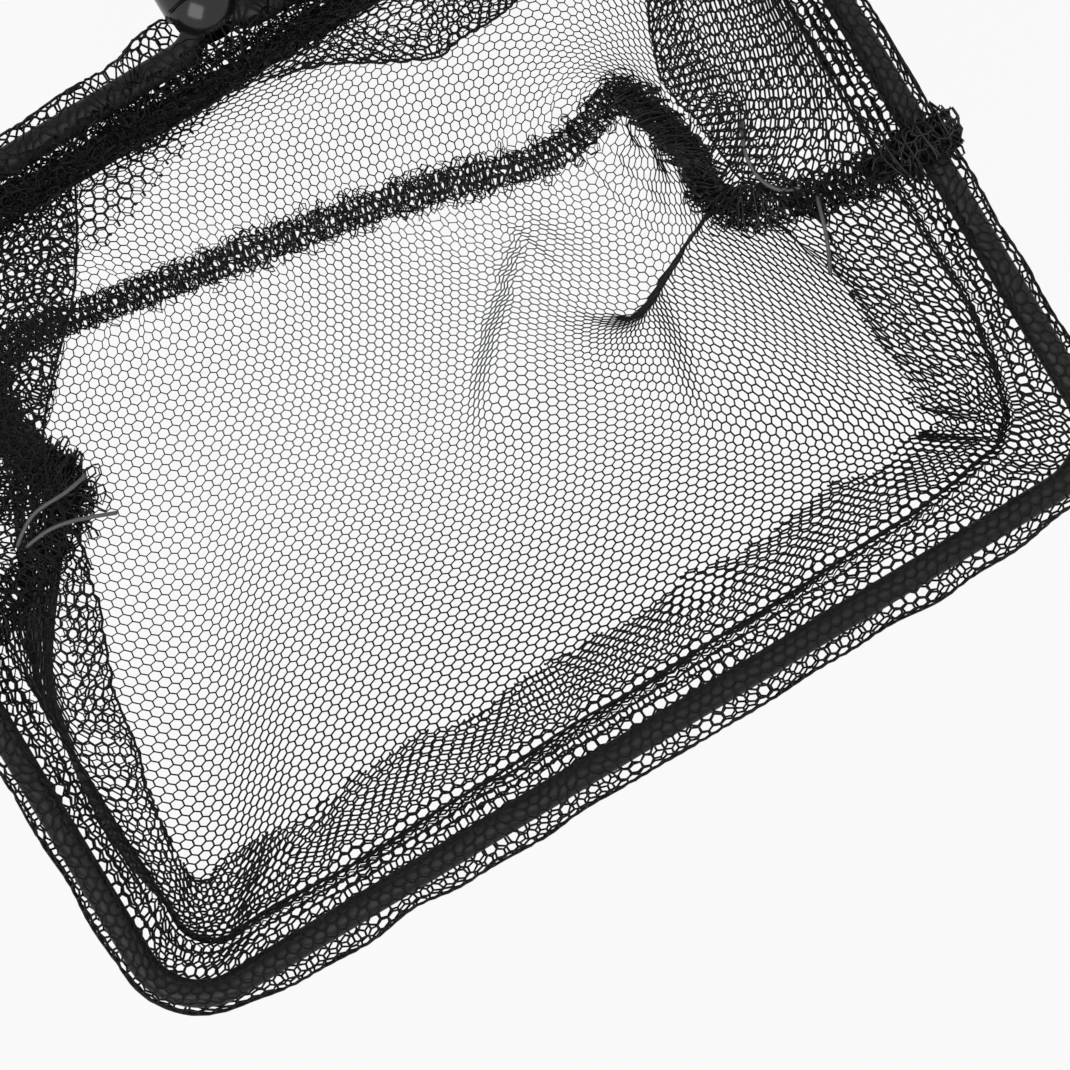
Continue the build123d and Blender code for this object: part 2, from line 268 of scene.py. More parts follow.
# The shelf that the right seam holds up, and the step in the floor beside it
shelf = {
    "slope": (0.84, 0.22, -51.2),  # height = ax + by + c
    "crease": [(10, -9), (17, -8.5), (22, -8), (26, -5.6), (29, -3.0), (31.5, -1.8), (35, -0.6), (40, 1.6),
        (50, 6)],  # in plan, x and y
    "width": [(10, 16), (17, 15), (22, 13), (26, 8), (29, 2.6), (31.5, 1.4), (37, 1.0), (50, 1.0)],  # by x
    "fade": (15, 33),
    "fold": (31.4, 0.1, 2.8, 4.6),  # a small fold below the crease: its place, lean, width and depth
    "foldEnds": (-26, -8),
    "soft": 2.5,
    "step": [(20, 17), (4, -1)],  # in plan, from the bottom seam's side
    "stepWidth": 4.5,
    "stepHeight": 6.5,
    "stepReach": 22,
    "stepStart": (-8, 3),  # mm along the step
    "stepEnd": (1.4, 0.7),  # as a share of its run
}
# Sleeve round the wire, from the outer stitch over the wire to the inner one
sleeve = {
    "section": [(4.6, -5.4), (1.2, -4.6), (-2.3, -2.9), (-3.1, 0.0), (-0.6, 2.15), (2.2, 1.0), (4.2, -2.6),
        (4.9, -4.7)],  # inward and upward of the wire's middle
    "slack": [(0, 1.5), (45, 1.5), (61, 0.5), (80, 0.7), (140, 0.7), (151, 0.4), (165, 0.8), (200, 0.8),
        (207, 1.4), (215, 2.5), (221, 2.2), (228, 1.2), (236, 0.8), (260, 0.8), (273, 0.4),
        (290, 0.8), (350, 0.7), (363, 0.4), (380, 1.4)],
    "slackOut": 1.3,  # mm that slack cloth stands out for each step of slack
    "outer": (0.5, -3),  # where the outer and the inner half begin and are full
    "inner": (0.5, 4.6),
    "bunch": [(0, 0.35), (60, 0.2), (80, 0.45), (140, 0.5), (160, 0.8), (200, 1.1), (212, 1.5), (226, 1.2),
        (262, 1.1), (275, 0.6), (350, 0.5), (362, 0.25)],  # cloth in folds beside the wire
    "folds": 3.5,
    "fold": (1.25, 0.5),  # their depth, inward and upward
    "foldFrom": (0.57, 0.68),  # the part of the section that they fill
    "foldTo": (0.98, 0.92),
    "foldPart": 0.32,
    "turn": (0.5, 4.5),  # where the cloth starts to cut the hoop's corners
    "points": 120,
}
# Flap inside the sleeve
flap = {
    "edge": [(0, 0, -33), (45, 42, -33), (61, 48.5, -32), (78, 48.5, -22), (98, 48, -6), (106, 43, 3.5),
        (116, 41.6, 10.5), (127, 40.2, 17.5), (139, 44.3, 27.5), (151, 43, 33.5), (165, 39, 35),
        (181, 30.7, 34), (191, 21.5, 33), (203, 9, 39.5), (212, 0, 41.5), (218, -5.8, 41.2),
        (223, -10.9, 40.1), (229, -16.8, 38.2), (234, -21.8, 36.6), (238, -26, 35.2), (241, -26.5, 37.5),
        (246, -27.5, 37.0), (254, -29.3, 35), (262, -31.7, 31.9), (270, -34.2, 29), (278, -36.6, 26.2),
        (287, -39.2, 23.1), (296, -41.6, 20.5), (303, -43, 16.5), (311, -44.6, 8), (319, -47.2, -0.5),
        (330, -51, -11.8), (341, -53.5, -22.2), (352, -53, -30), (362, -49, -33.5), (375, -42, -33.5),
        (390, -34, -33)],  # place along the wire, and x and y of the edge
    "lift": [(0, 0.1), (61, 0.1), (90, 0.2), (106, 0.9), (205, 0.9), (222, 1), (341, 1), (352, 0.6),
        (368, 0.1)],  # how far it is held off the wall, from none to all
    "spare": 0.35,  # more length where it lies on the wall
    "under": [(0, 0), (98, 0), (106, 5), (165, 6), (180, 9), (200, 9), (205, 6), (212, 0), (238, 0),
        (242, 10), (298, 11), (312, 8), (341, 4), (356, 0)],  # mm folded under its edge
    "low": [(0, -14), (61, -14), (98, -9), (106, -8.5), (151, -9), (181, -13), (191, -14), (203, -10),
        (214, -6), (238, -6), (242, -7.5), (298, -8.5), (330, -8.5), (341, -9), (362, -14)],  # its height
    "droop": 1.6,  # how late it falls to that height
    "fold": (1.3, -0.8, 1.2),  # depth of the folded edge, and where it begins and ends
    "foldFall": 0.2,
    "gap": 0.9,
    "points": 60,
}
# Gathers of the panels: how far they reach from an edge, their depth and their length from crest to crest
gathers = {
    "bottom": (14, 1, 9),
    "top": (7, 0.35, 8),
    "sides": (8, 0.7, 7),
    "broad": (25, 0.8, 46),  # slow waves over the whole panel, which lean by the first number
}
# Unevenness of the hem along the wire: its size, its length from crest to crest and its seed
uneven = {
    "slack": (0.18, 17, 5),
    "length": (0.04, 21, 6),
    "gap": (0.6, 13, 7),
    "droop": (0.7, 15, 8),
    "edge": (0.12, 14, 9),
    "bunch": (0.3, 9, 10),
    "folds": (1.2, 16, 11),
}


def wander(kind, s, panel):
    size, wave, seed = uneven[kind]
    return size * ripple(s, wave, panel["seed"] + seed)


def profiles(s, top, bottom, floor, rows):
    # a Bezier line for each column, from the stitch to the bottom seam
    t = np.linspace(0, 1, rows)[None, :, None]
    first, last = top[:, None], bottom[:, None]
    inward = onRing(ringTurn, s) * station(walls["inward"], s)[:, None]
    wall = np.concatenate([inward, -station(walls["down"], s)[:, None]], axis=1)
    back, down = floor
    aside = station(walls["aside"], s)
    come = np.stack([aside, np.full_like(aside, back), np.full_like(aside, down)], axis=1)
    near, far = first + wall[:, None], last + come[:, None]
    return (1 - t) ** 3 * first + 3 * t * (1 - t) ** 2 * near + 3 * t**2 * (1 - t) * far + t**3 * last


def stepped(x, y):
    # cloth beside the step is higher, and comes down again further off
    start, end = np.array(shelf["step"], float)
    run = np.linalg.norm(end - start)
    along = (end - start) / run
    far = (x - start[0]) * along[0] + (y - start[1]) * along[1]
    off = (y - start[1]) * along[0] - (x - start[0]) * along[1]
    rise = smooth(-0.5, 0.5, off / shelf["stepWidth"]) * smooth(1, 0, off / shelf["stepReach"])
    rise = shelf["stepHeight"] * rise
    return rise * smooth(*shelf["stepStart"], far) * smooth(*shelf["stepEnd"], far / run)


def raised(grid):
    # the shelf in front of the crease lifts the cloth that would lie lower
    a, b, c = shelf["slope"]
    x, y, z = grid[..., 0], grid[..., 1], grid[..., 2]
    place, lean, wide, deep = shelf["fold"]
    fold = deep * smooth(0, wide, place + lean * y - x) * smooth(*shelf["foldEnds"], y)
    more = a * x + b * y + c - fold - z
    lift = shelf["soft"] * np.logaddexp(0, more / shelf["soft"])
    edge, width = (np.interp(x, *np.transpose(shelf[key])) for key in ("crease", "width"))
    before = smooth(1, 0, (y - edge) / width) * smooth(*shelf["fade"], x)
    return grid + np.stack([0 * x, 0 * x, lift * before + stepped(x, y)], axis=-1)


def normals(grid):
    return unit(np.cross(np.gradient(grid, axis=0), np.gradient(grid, axis=1)))


def onGrid(grid, u, v):
    # bilinear, and carried on past the edges
    nu, nv = grid.shape[:2]
    x, y = u * (nu - 1), v * (nv - 1)
    i = np.clip(np.floor(x).astype(int), 0, nu - 2)
    j = np.clip(np.floor(y).astype(int), 0, nv - 2)
    a, b = (x - i)[..., None], (y - j)[..., None]
    low = grid[i, j] * (1 - a) + grid[i + 1, j] * a
    high = grid[i, j + 1] * (1 - a) + grid[i + 1, j + 1] * a
    return low * (1 - b) + high * b


def bodyGrid(name, panel):
    s = np.linspace(panel["from"], panel["to"], net["columns"])
    top = stitchLine(s)
    right, left = evenly(seamRight, net["rows"]), evenly(seamLeft[::-1], net["rows"])
    bottom = evenly(seamBottom, net["columns"])
    if name == "front":
        bottom = bottom[::-1]
        first, last = left, right
    else:
        first, last = right, left
    grid = profiles(s, top, bottom, panel["floor"], net["rows"])
    grid = np.array([evenly(c, net["rows"]) for c in grid])
    u = np.linspace(0, 1, net["columns"])[:, None]
    v = np.linspace(0, 1, net["rows"])[None, :]
    span = panel["to"] - panel["from"]
    pull = np.exp(-u * span / panel["pull"][0]), np.exp(-(1 - u) * span / panel["pull"][1])
    grid = grid + pull[0][..., None] * (first - grid[:1]) + pull[1][..., None] * (last - grid[-1:])
    if name == "front":
        held = smooth(0, 4, (1 - u) * span)[..., None] * smooth(0, 0.12, v)[..., None]
        grid = grid + held * (raised(grid) - grid)
    inward = normals(grid)
    inward *= np.sign(inward[net["columns"] // 2, net["rows"] // 2, 2])
    p, q, seed = (u - 0.5) * span, v * 100, panel["seed"]
    reach, deep, wave = gathers["bottom"]
    fold = deep * panel["gather"] * np.exp(-(1 - v) * 100 / reach) * ripple(p, wave, seed)
    reach, deep, wave = gathers["top"]
    fold = fold + deep * np.exp(-v * 100 / reach) * ripple(p, wave, seed + 1)
    reach, deep, wave = gathers["sides"]
    nearSides = np.exp(-u * span / reach) + np.exp(-(1 - u) * span / reach)
    fold = fold + deep * nearSides * ripple(q, wave, seed + 2)
    lean, deep, wave = gathers["broad"]
    fold = fold + deep * np.sin(np.pi * v) * ripple(p + lean * v, wave, seed + 3)
    edges = smooth(0, 0.03, v) * smooth(0, 0.03, 1 - v) * smooth(0, 0.02, u) * smooth(0, 0.02, 1 - u)
    grid = grid + inward * (fold * edges)[..., None]
    columns = [evenly(c, net["rows"]) for c in grid]
    panel["depth"] = float(np.mean([lengths(c)[-1] for c in grid]))
    panel["span"] = span
    panel["grid"] = np.array(columns)
    panel["inward"] = inward
    print(name, "panel: %.0f mm along the hoop, %.0f mm deep" % (span, panel["depth"]))


def hemGrid(panel):
    # one line for each column: from the outer stitch, round the wire, to the inner stitch, then the flap
    s = np.linspace(panel["from"], panel["to"], net["columns"])
    section = evenly(throughPoints(sleeve["section"]), sleeve["points"])
    slack = station(sleeve["slack"], s) * (1 + wander("slack", s, panel))
    outer = smooth(*sleeve["outer"], section[:, 0])[None]
    inner = smooth(*sleeve["inner"], section[:, 0])[None]
    toStitch = station(stitch["inset"], s)[:, None] / sleeve["section"][0][0]
    inset = section[None, :, 0] * (1 + (toStitch - 1) * inner)
    inset = inset - sleeve["slackOut"] * (slack[:, None] - 1) * outer
    t = np.linspace(0, 1, sleeve["points"])[None]
    bunch = (station(sleeve["bunch"], s) * (1 + wander("bunch", s, panel)))[:, None]
    window = smooth(*sleeve["foldFrom"], t) * smooth(*sleeve["foldTo"], t)
    turns = 2 * np.pi * sleeve["folds"] * t / sleeve["foldPart"] + wander("folds", s, panel)[:, None]
    inset = inset + sleeve["fold"][0] * bunch * window * np.sin(turns)
    rise = section[None, :, 1] + sleeve["fold"][1] * bunch * window * np.cos(1.7 * turns)
    turn = smooth(*sleeve["turn"], inset)[..., None]
    inwards = unit((1 - turn) * onRing(ringIn, s)[:, None] + turn * onRing(ringTurn, s)[:, None])
    flat = onRing(ring, s)[:, None] + inwards * inset[..., None]
    loop = np.concatenate([flat, rise[..., None]], axis=-1)
    start = loop[:, -1, :2]
    aim = np.stack([station([(k[0], k[c]) for k in flap["edge"]], s) for c in (1, 2)], axis=1)
    reach = np.linalg.norm(aim - start, axis=1) + wander("edge", s, panel)
    lift = station(flap["lift"], s)
    long = reach * (1 + flap["spare"] * (1 - lift)) + station(flap["under"], s)
    long = long * (1 + wander("length", s, panel))
    far = np.linspace(0, 1, flap["points"] + 1)[1:][None] * (long[:, None] + 3)
    u = np.linspace(0, 1, net["columns"])[:, None] + 0 * far
    v = far / panel["depth"]
    gap = flap["gap"] * smooth(0, 3, far) * (1 + wander("gap", s, panel)[:, None] * smooth(2, 12, far))
    along = onGrid(panel["grid"], u, v) + onGrid(panel["inward"], u, v) * gap[..., None]
    under = np.maximum(far - reach[:, None], 0)
    level = start[:, None] + unit(aim - start)[:, None] * (far - 2 * under)[..., None]
    rise = loop[:, -1, 2]
    low = station(flap["low"], s) - rise
    deep, begin, end = flap["fold"]
    droop = rise[:, None] + low[:, None] * np.clip(far / reach[:, None], 0, 1) ** flap["droop"]
    droop = droop - deep * smooth(begin, end, far - reach[:, None]) - flap["foldFall"] * under
    droop = droop + smooth(2, 10, far) * wander("droop", s, panel)[:, None]
    level = np.concatenate([level, droop[..., None]], axis=-1)
    lift = lift[:, None, None]
    lines = np.concatenate([loop, along * (1 - lift) + level * lift], axis=1)
    loopLong = np.array([lengths(line)[-1] for line in loop])
    most = float(np.max(long)) + 4
    loopSteps = np.linspace(0, 1, sleeve["points"])
    flapSteps = np.linspace(0, most, 3 * flap["points"])[1:]
    grid = []
    for line, length in zip(lines, loopLong):
        run = lengths(line)
        steps = np.concatenate([loopSteps * length, length + flapSteps])
        grid.append(sampled(line, run, steps))
    panel["hem"] = np.array(grid)
    panel["loop"] = float(np.mean(loopLong))
    panel["flap"] = most
    panel["hemMost"] = panel["loop"] + most
    panel["hemEdge"] = panel["loop"] + long
    panel["hemAt"] = s


def hemRow(panel, inward):
    # where a length of hem cloth, from the outer stitch, lies on the hem's grid
    loopRows = sleeve["points"] - 1
    rows = panel["hem"].shape[1] - 1
    onLoop = inward / panel["loop"] * loopRows
    onFlap = loopRows + (inward - panel["loop"]) / panel["flap"] * (rows - loopRows)
    return np.where(inward < panel["loop"], onLoop, onFlap) / rows


def hexNet(pLow, pHigh, qLow, qHigh):
    # rows of holes along the hoop; knots are shared by keys in half steps
    pitch = net["pitch"]
    rows = np.arange(math.floor(qLow / (pitch * 0.866)), math.ceil(qHigh / (pitch * 0.866)) + 1)
    cols = np.arange(math.floor(pLow / pitch) - 1, math.ceil(pHigh / pitch) + 2)
    j, i = np.meshgrid(rows, cols, indexing="ij")
    i = (2 * i + (j % 2)).ravel()
    j = (3 * j).ravel()
    return i, j, i * pitch / 2, j * pitch / (2 * math.sqrt(3))


def knots(i, j, seed):
    corners = ((0, 2), (1, 1), (1, -1), (0, -2), (-1, -1), (-1, 1))
    x = np.stack([i + di for di, dj in corners], axis=1)
    y = np.stack([j + dj for di, dj in corners], axis=1)
    keys = (x + 20000) * 100000 + (y + 20000)
    found, faces = np.unique(keys, return_inverse=True)
    faces = faces.reshape(keys.shape)
    p = (found // 100000 - 20000) * net["pitch"] / 2
    q = (found % 100000 - 20000) * net["pitch"] / (2 * math.sqrt(3))
    shake = np.random.default_rng(seed).normal(0, net["shake"], (2, len(p)))
    return p + shake[0], q + shake[1], faces


def settle(grid, u, v, faces):
    # strands pull on their knots, which slide over the surface until the holes are more even
    edges = np.stack([faces, np.roll(faces, -1, axis=1)], axis=-1).reshape(-1, 2)
    edges = np.unique(np.sort(edges, axis=1), axis=0)
    first, last = edges.T
    count = np.bincount(edges.ravel(), minlength=len(u))
    free = (np.bincount(faces.ravel(), minlength=len(u)) == 3).astype(float)
    alongU = np.gradient(grid, axis=0) * (grid.shape[0] - 1)
    alongV = np.gradient(grid, axis=1) * (grid.shape[1] - 1)
    mostU, mostV = net["slide"]
    for turn in range(net["settle"]):
        points = onGrid(grid, u, v)
        pull = points[last] - points[first]
        force = np.zeros_like(points)
        for k in range(3):
            force[:, k] = np.bincount(first, pull[:, k], len(u)) - np.bincount(last, pull[:, k], len(u))
        force *= (free * net["pull"] / np.maximum(count, 1))[:, None]
        a, b = onGrid(alongU, u, v), onGrid(alongV, u, v)
        aa, ab, bb = (np.sum(x * y, axis=1) for x, y in ((a, a), (a, b), (b, b)))
        fa, fb = np.sum(a * force, axis=1), np.sum(b * force, axis=1)
        det = np.maximum(aa * bb - ab * ab, net["flattest"] * aa * bb)
        u = u + np.clip((bb * fa - ab * fb) / det, -mostU, mostU)
        v = v + np.clip((aa * fb - ab * fa) / det, -mostV, mostV)
    return u, v


def addPiece(name, points, faces, finish, thick=None, thin=None):
    mesh = bpy.data.meshes.new(name)
    mesh.from_pydata(toFrame(points).tolist(), [], [list(map(int, f)) for f in faces])
    mesh.materials.append(finish)
    mesh.shade_smooth()
    piece = bpy.data.objects.new(name, mesh)
    bpy.context.scene.collection.objects.link(piece)
    if thick:
        strands = piece.modifiers.new("strands", "WIREFRAME")
        strands.thickness = thick / 1000
        strands.use_even_offset = False
        strands.use_boundary = False
        strands.use_replace = True
    if thin is not None:
        group = piece.vertex_groups.new(name="strand")
        steps = 10
        level = np.round(np.clip(thin, 0, 1) * steps).astype(int)
        for k in range(steps + 1):
            group.add(np.flatnonzero(level == k).tolist(), k / steps, "REPLACE")
        strands.vertex_group = group.name
        strands.thickness_vertex_group = net["thin"]
    return piece


def tube(line, radius, sides=5):
    along = unit(np.gradient(line, axis=0))
    helper = np.where(np.abs(along[:, 2:]) < 0.9, np.array([[0, 0, 1.0]]), np.array([[1.0, 0, 0]]))
    x = unit(np.cross(along, helper))
    y = np.cross(along, x)
    turns = np.arange(sides) * 2 * np.pi / sides
    ring = x[:, None] * np.cos(turns)[None, :, None] + y[:, None] * np.sin(turns)[None, :, None]
    rings = line[:, None] + radius * ring
    n = len(line)
    faces = []
    for k in range(n - 1):
        for m in range(sides):
            o = (m + 1) % sides
            faces.append((k * sides + m, k * sides + o, (k + 1) * sides + o, (k + 1) * sides + m))
    faces.append(tuple(range(sides))[::-1])
    faces.append(tuple((n - 1) * sides + m for m in range(sides)))
    return rings.reshape(-1, 3), faces


def tubes(name, lines, radius, finish, sides=5):
    # many threads in one piece
    points, faces, count = [], [], 0
    for line in lines:
        p, f = tube(line, radius, sides)
        points.append(p)
        faces += [tuple(k + count for k in face) for face in f]
        count += len(p)
    return addPiece(name, np.concatenate(points), faces, finish)


def joined(made):
    # several nets as one, from the points and holes of each
    points, faces = zip(*made)
    before = np.cumsum([0] + [len(p) for p in points])
    return np.concatenate(points), np.concatenate([f + k for f, k in zip(faces, before)])


def cutStrands(name, points, faces, allowed, seed, more=()):
    # short ends of the strands that the scissors cut, at the knots of one hole only
    used = np.bincount(faces.ravel(), minlength=len(points))
    before, after = np.roll(faces, 1, axis=1), np.roll(faces, -1, axis=1)
    pick = np.random.default_rng(seed)
    lines = list(more)
    for row, col in np.argwhere((used[faces] == 1) & allowed[faces]):
        knot = points[faces[row, col]]
        out = unit(2 * knot - points[before[row, col]] - points[after[row, col]])
        tip = knot + out * pick.uniform(*net["cut"]) + pick.normal(0, net["cutBend"], 3)
        lines.append(np.array([knot, (knot + tip) / 2, tip]))
    return tubes(name, lines, net["strand"] * net["cutThick"], madeFinishes["net"], 4)


class Signal:
    # a socket that takes part in Python sums
    def __init__(self, finish, socket):
        self.finish = finish
        self.socket = socket

    def sum(self, operation, first, second):
        return self.finish.node("ShaderNodeMath", {"operation": operation}, {0: first, 1: second})

    def __add__(self, other):
        return self.sum("ADD", self, other)

    def __radd__(self, other):
        return self.sum("ADD", other, self)

    def __mul__(self, other):
        return self.sum("MULTIPLY", self, other)

    def __rmul__(self, other):
        return self.sum("MULTIPLY", other, self)


class Finish:
    # a node tree, with one method for any node
    def __init__(self, owner):
        self.owner = owner
        owner.use_nodes = True
        self.tree = owner.node_tree

    def node(self, kind, settings=None, inputs=None, output=0):
        made = self.tree.nodes.new(kind)
        for key, value in (settings or {}).items():
            setattr(made, key, value)
        for key, value in (inputs or {}).items():
            self.feed(made.inputs[key], value)
        return Signal(self, made.outputs[output])

    def feed(self, socket, value):
        if isinstance(value, Signal):
            self.tree.links.new(value.socket, socket)
        else:
            socket.default_value = value

    def principled(self, **values):
        shader = self.tree.nodes["Principled BSDF"]
        for key, value in values.items():
            self.feed(shader.inputs[key.replace("_", " ")], value)

    def place(self, scale=(1, 1, 1)):
        where = self.node("ShaderNodeTexCoord", output="Object")
        return self.node("ShaderNodeMapping", None, {"Vector": where, "Scale": scale})

    def noise(self, where, scale, detail=3.0, rough=0.55):
        inputs = {"Vector": where, "Scale": scale, "Detail": detail, "Roughness": rough}
        return self.node("ShaderNodeTexNoise", None, inputs)

    def mixed(self, factor, first, second):
        inputs = {0: factor, 6: first, 7: second}
        return self.node("ShaderNodeMix", {"data_type": "RGBA"}, inputs, output=2)

    def bump(self, height, strength, distance):
        inputs = {"Height": height, "Strength": strength, "Distance": distance}
        return self.node("ShaderNodeBump", None, inputs)


def grey(level):
    return (level, level, level, 1)


finishes = {
    "net": {"dark": grey(0.002), "light": grey(0.008), "rough": (0.42, 0.25), "grain": 900, "shine": 0.16},
    "seam": {"dark": grey(0.002), "light": grey(0.012), "rough": (0.38, 0.25), "grain": 700, "shine": 0.34},
    "thread": {"dark": grey(0.05), "light": grey(0.13), "rough": (0.35, 0.2), "grain": 1500, "shine": 0.4},
    "stitch": {"dark": grey(0.002), "light": grey(0.01), "rough": (0.45, 0.2), "grain": 1500, "shine": 0.2},
    "coating": {"dark": grey(0.006), "light": grey(0.014), "rough": (0.4, 0.2), "grain": 700, "shine": 0.3},
    "connector": {"dark": grey(0.005), "light": grey(0.01), "rough": (0.12, 0.1), "grain": 260, "shine": 0.45,
                  "bump": 0.08},
    "grip": {"dark": grey(0.016), "light": grey(0.03), "rough": (0.62, 0.25), "grain": 900, "shine": 0.4},
    "trim": {"dark": grey(0.012), "light": grey(0.022), "rough": (0.34, 0.18), "grain": 500, "shine": 0.45},
    "tube": {"dark": grey(0.36), "light": grey(0.5), "rough": (0.24, 0.2), "lines": 3500},
    "wire": {"dark": grey(0.4), "light": grey(0.55), "rough": (0.3, 0.2), "lines": 2500},
    "pin": {"dark": grey(0.45), "light": grey(0.6), "rough": (0.25, 0.2), "lines": 2500},
    "bush": {"dark": (0.55, 0.38, 0.13, 1), "light": (0.72, 0.52, 0.22, 1), "rough": (0.25, 0.2),
             "lines": 2500},
}
mottle = {
    "fine": 0.6,  # share of the tone that comes from the fine grain or lines
    "broad": 0.4,
    "broader": 14,  # how much larger the patches are than the grain
    "bump": 0.35,
    "height": 0.00006,
}
drawn = {
    "lines": (1, 0.02, 1),  # stretched along the handle
    "streaks": (1, 0.4, 1),
    "streakScale": 90,
    "bump": 0.2,
    "height": 0.00002,
}


def makeFinish(name, look):
    finish = Finish(bpy.data.materials.new(name + "_finish"))
    if "lines" in look:
        # drawn metal: fine lines along the handle
        fine = finish.noise(finish.place(drawn["lines"]), look["lines"], 2.0)
        broad = finish.noise(finish.place(drawn["streaks"]), drawn["streakScale"], 2.0)
        gloss, bump = fine, finish.bump(fine, drawn["bump"], drawn["height"])
        finish.principled(Metallic=1.0)
    else:
        # nylon, rubber and moulded plastic: mottled tone, uneven gloss, fine grain
        fine = finish.noise(finish.place(), look["grain"])
        broad = finish.noise(finish.place(), look["grain"] / mottle["broader"], 2.0)
        gloss, bump = broad, finish.bump(fine, look.get("bump", mottle["bump"]), mottle["height"])
        finish.principled(Specular_IOR_Level=look["shine"])
    tone = fine * mottle["fine"] + broad * mottle["broad"]
    low, more = look["rough"]
    colour = finish.mixed(tone, look["dark"], look["light"])
    finish.principled(Base_Color=colour, Roughness=low + more * gloss, Normal=bump)
    return finish.owner


madeFinishes = {name: makeFinish(name, look) for name, look in finishes.items()}
slotFinish = {row["node"]: row["material_slot"] for row in frame["record"]["subparts"]}
for node, slot in slotFinish.items():
    if slot in madeFinishes:
        nodes[node].data.materials.clear()
        nodes[node].data.materials.append(madeFinishes[slot])
print("finishes:", len(madeFinishes))


def clothWidth(panel, v):
    less = panel["bottomWidth"] - panel["span"]
    return panel["span"] + less * np.clip(v, 0, 1) ** net["narrowing"]


# Loose cloth in the left back corner: a raw cut edge, and a shelf where the cloth lies double
loose = {
    "along": (214, 303),  # the part of the wire that it hangs from
    "fall": (-4.6, 0.17),  # its height at the hoop's line, and its fall for each mm inward
    "wave": (0.3, 13, 136),  # size, length from crest to crest and seed
    "shift": (0.28, 7),  # how the double layers wander
    "cloth": 36,  # half the width of the net that it is cut from
    "raw": {
        "outline": [(-21, 43.6), (-6.5, 43.6), (-6.5, 41.4), (-11, 40.2), (-18, 38), (-27.4, 34.4),
            (-26, 40)],
        "layers": [(-0.3, 0, 1.09)],  # lift, turn in degrees, stretch
        "ends": (-25.5, 41.8),  # cut strands show to the right of this x and in front of this y
    },
    "shelf": {
        "outline": [(-22.7, 43.6), (-28, 35.3), (-31.4, 31), (-35, 27.6), (-42.4, 19.6), (-45, 14),
            (-58.2, 12), (-58.2, 38), (-54, 43)],
        "layers": [(0.6, 0, 0.88), (-0.6, 41, 0.88), (-1.5, 17, 0.96)],
        "fold": 6,  # points of the outline that lie on the folded edge
    },
}


def inside(outline, x, y):
    hit = np.zeros(len(x), bool)
    for (ax, ay), (bx, by) in zip(outline, outline[1:] + outline[:1]):
        rise = by - ay if by != ay else 1e-9
        hit ^= ((ay > y) != (by > y)) & (x < ax + (bx - ax) * (y - ay) / rise)
    return hit


def ontoOutline(outline, flat):
    # the nearest points of the outline, for knots that stand outside a fold
    best, nearest = np.full(len(flat), np.inf), flat.copy()
    for a, b in zip(np.array(outline), np.array(outline[1:] + outline[:1])):
        t = np.clip((flat - a) @ (b - a) / np.sum((b - a) ** 2), 0, 1)
        on = a + t[:, None] * (b - a)
        far = np.linalg.norm(flat - on, axis=1)
        nearest[far < best] = on[far < best]
        best = np.minimum(best, far)
    return nearest


def looseHeight(x, y):
    inward = np.minimum(x + halfX, halfY - y)
    size, wave, seed = loose["wave"]
    return loose["fall"][0] - loose["fall"][1] * inward + size * ripple(x - y, wave, seed)


def foldLine():
    line = throughPoints(loose["shelf"]["outline"][: loose["shelf"]["fold"]], 8)
    return np.concatenate([line, looseHeight(*line.T)[:, None]], axis=1)


def looseNet():
    made, raw = [], []
    size, wave = loose["shift"]
    cloth = loose["cloth"]
    endX, endY = loose["raw"]["ends"]
    for name in ("raw", "shelf"):
        outline = loose[name]["outline"]
        middle = np.mean(outline, axis=0)
        for k, (lift, turn, stretch) in enumerate(loose[name]["layers"]):
            c, d = stretch * math.cos(math.radians(turn)), stretch * math.sin(math.radians(turn))
            spin = np.array([[c, d], [-d, c]])
            i, j, p, q = hexNet(-cloth, cloth, -cloth, cloth)
            keep = inside(outline, *(np.stack([p, q], axis=1) @ spin + middle).T)
            fp, fq, f = knots(i[keep], j[keep], 130 + k)
            flat = np.stack([fp, fq], axis=1) @ spin + middle
            if name == "shelf":
                shift = ripple(fp + 2 * fq, wave, 132 + k), ripple(fq - fp, wave, 134 + k)
                flat += size * np.stack(shift, axis=1)
                out = ~inside(outline, *flat.T)
                flat[out] = ontoOutline(outline, flat[out])
            x, y = flat.T
            made.append((np.stack([x, y, looseHeight(x, y) + lift], axis=1), f))
            raw.append((y < endY) & (x > endX) & (name == "raw"))
    return *joined(made), np.concatenate(raw)


# Slack of the sleeve along the back edge, drawn into fine pleats beside the wire
pleats = {
    "along": (164, 263),  # the part of the wire that they follow
    "inset": 3.3,  # their middle, inside the wire
    "width": 4.4,
    "cloth": 9.0,  # mm of cloth gathered into that width
    "layers": (-0.9, -2.0, -3.1),  # heights
    "edge": (0.1, 11),  # unevenness: size, and length from crest to crest
    "line": (0.3, 16),
    "pleat": (0.5, 2.6),
    "lean": 0.12,
    "slope": 0.35,
}


def pleatNet():
    made = []
    start, end = pleats["along"]
    half = pleats["cloth"] / 2
    for k, height in enumerate(pleats["layers"]):
        i, j, p, q = hexNet(0, end - start, -half, half)
        size, wave = pleats["edge"]
        keep = (p > 2 * k) & (p < end - start - 2 * k)
        keep &= np.abs(q) <= half * (1 + size * ripple(p, wave, 150 + k))
        fp, fq, f = knots(i[keep], j[keep], 154 + k)
        size, wave = pleats["line"]
        inset = pleats["inset"] + fq * pleats["width"] / pleats["cloth"]
        inset = inset + size * ripple(fp + 2 * fq, wave, 158 + k)
        size, wave = pleats["pleat"]
        z = height - pleats["slope"] * (inset - pleats["inset"])
        z = z + size * ripple(fq + pleats["lean"] * fp, wave, 162 + k)
        made.append((besideWire(start + fp, inset, z), f))
    return joined(made)


